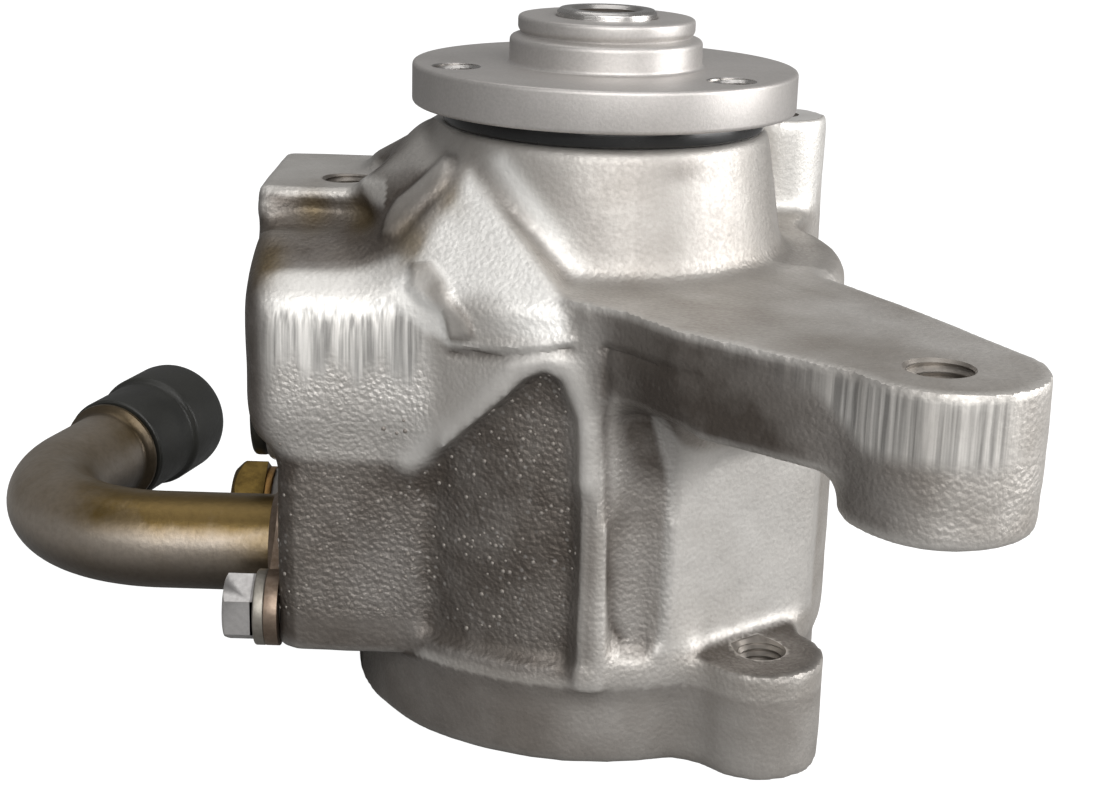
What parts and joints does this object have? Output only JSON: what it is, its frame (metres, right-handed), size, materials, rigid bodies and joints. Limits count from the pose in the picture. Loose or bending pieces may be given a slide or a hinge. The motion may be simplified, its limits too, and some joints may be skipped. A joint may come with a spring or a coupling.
{
  "type": "power steering pump",
  "caption": "Vane pump for hydraulic power steering: cast aluminium housing with a bracket arm, steel pulley hub, bent suction pipe with a rubber cap, and working parts inside.",
  "frame": {"origin": "shaft axis in the plane of the rear face the pump stands on", "axes": "+Z along the shaft towards the pulley hub; the suction pipe leaves along -X; the bracket arm points to +X and -Y"},
  "size_m": [0.1642, 0.1523, 0.1135],
  "materials": {
    "cast_aluminium": "rough sand cast skin, machined faces",
    "turned_steel": "fine turned, satin",
    "black_rubber": "matte",
    "spring_steel": "phosphated",
    "bearing_steel": "polished",
    "brass_sheet": "pressed",
    "bush_bronze": "turned",
    "ground_steel": "ground",
    "blackened_steel": "blackened",
    "yellow_zinc_steel": "yellow zinc plated",
    "zinc_steel": "zinc plated"
  },
  "bodies": {
    "pump": {"pump_housing": "cast_aluminium", "dust_ring": "black_rubber", "shaft_seal": "black_rubber", "seal_spring": "spring_steel", "bearing_outer_ring": "bearing_steel", "bearing_circlip": "spring_steel", "front_bush": "bush_bronze", "rear_bush": "bush_bronze", "front_plate": "ground_steel", "cam_ring": "ground_steel", "rear_plate": "ground_steel", "plate_spring": "spring_steel", "dowel_pins": "ground_steel", "rear_cover": "blackened_steel", "cover_o_ring": "black_rubber", "cover_wire_ring": "spring_steel", "valve_spring": "spring_steel", "valve_plug": "blackened_steel", "valve_plug_o_ring": "black_rubber", "suction_pipe": "yellow_zinc_steel", "pipe_flange": "yellow_zinc_steel", "pipe_o_ring": "black_rubber", "pipe_bolt": "zinc_steel", "pipe_washer": "zinc_steel", "pipe_cap": "black_rubber", "outlet_plug": "black_rubber", "side_plug": "yellow_zinc_steel", "side_washer": "bush_bronze"},
    "shaft": {"hub_flange": "turned_steel", "drive_shaft": "turned_steel", "bearing_inner_ring": "bearing_steel", "shaft_circlip": "spring_steel", "rotor": "ground_steel", "vanes": "ground_steel", "rotor_circlip": "spring_steel"},
    "cage": {"bearing_balls": "bearing_steel", "bearing_cage": "brass_sheet"},
    "spool": {"valve_spool": "ground_steel", "relief_seat": "bush_bronze", "relief_spring": "spring_steel"},
    "relief": {"relief_ball": "bearing_steel"}
  },
  "joints": [
    {"name": "shaft_spin", "type": "hinge", "parent": "pump", "child": "shaft", "pos_m": [0, 0, 0], "axis": [0, 0, 1], "continuous": true},
    {"name": "cage_spin", "type": "hinge", "parent": "pump", "child": "cage", "pos_m": [0, 0, 0], "axis": [0, 0, 1], "continuous": true},
    {"name": "spool_slide", "type": "slide", "parent": "pump", "child": "spool", "axis": [1, 0, 0], "range_m": [0, 0.005], "stiffness_N_per_m": 4000, "springref_m": -0.004, "deforming": ["valve_spring"]},
    {"name": "relief_lift", "type": "slide", "parent": "spool", "child": "relief", "axis": [-1, 0, 0], "range_m": [0, 0.0008], "stiffness_N_per_m": 6000, "springref_m": -0.001, "deforming": ["relief_spring"]}
  ],
  "couplings": [
    {"joint": "cage_spin", "follows": "shaft_spin", "ratio": 0.40769}
  ]
}
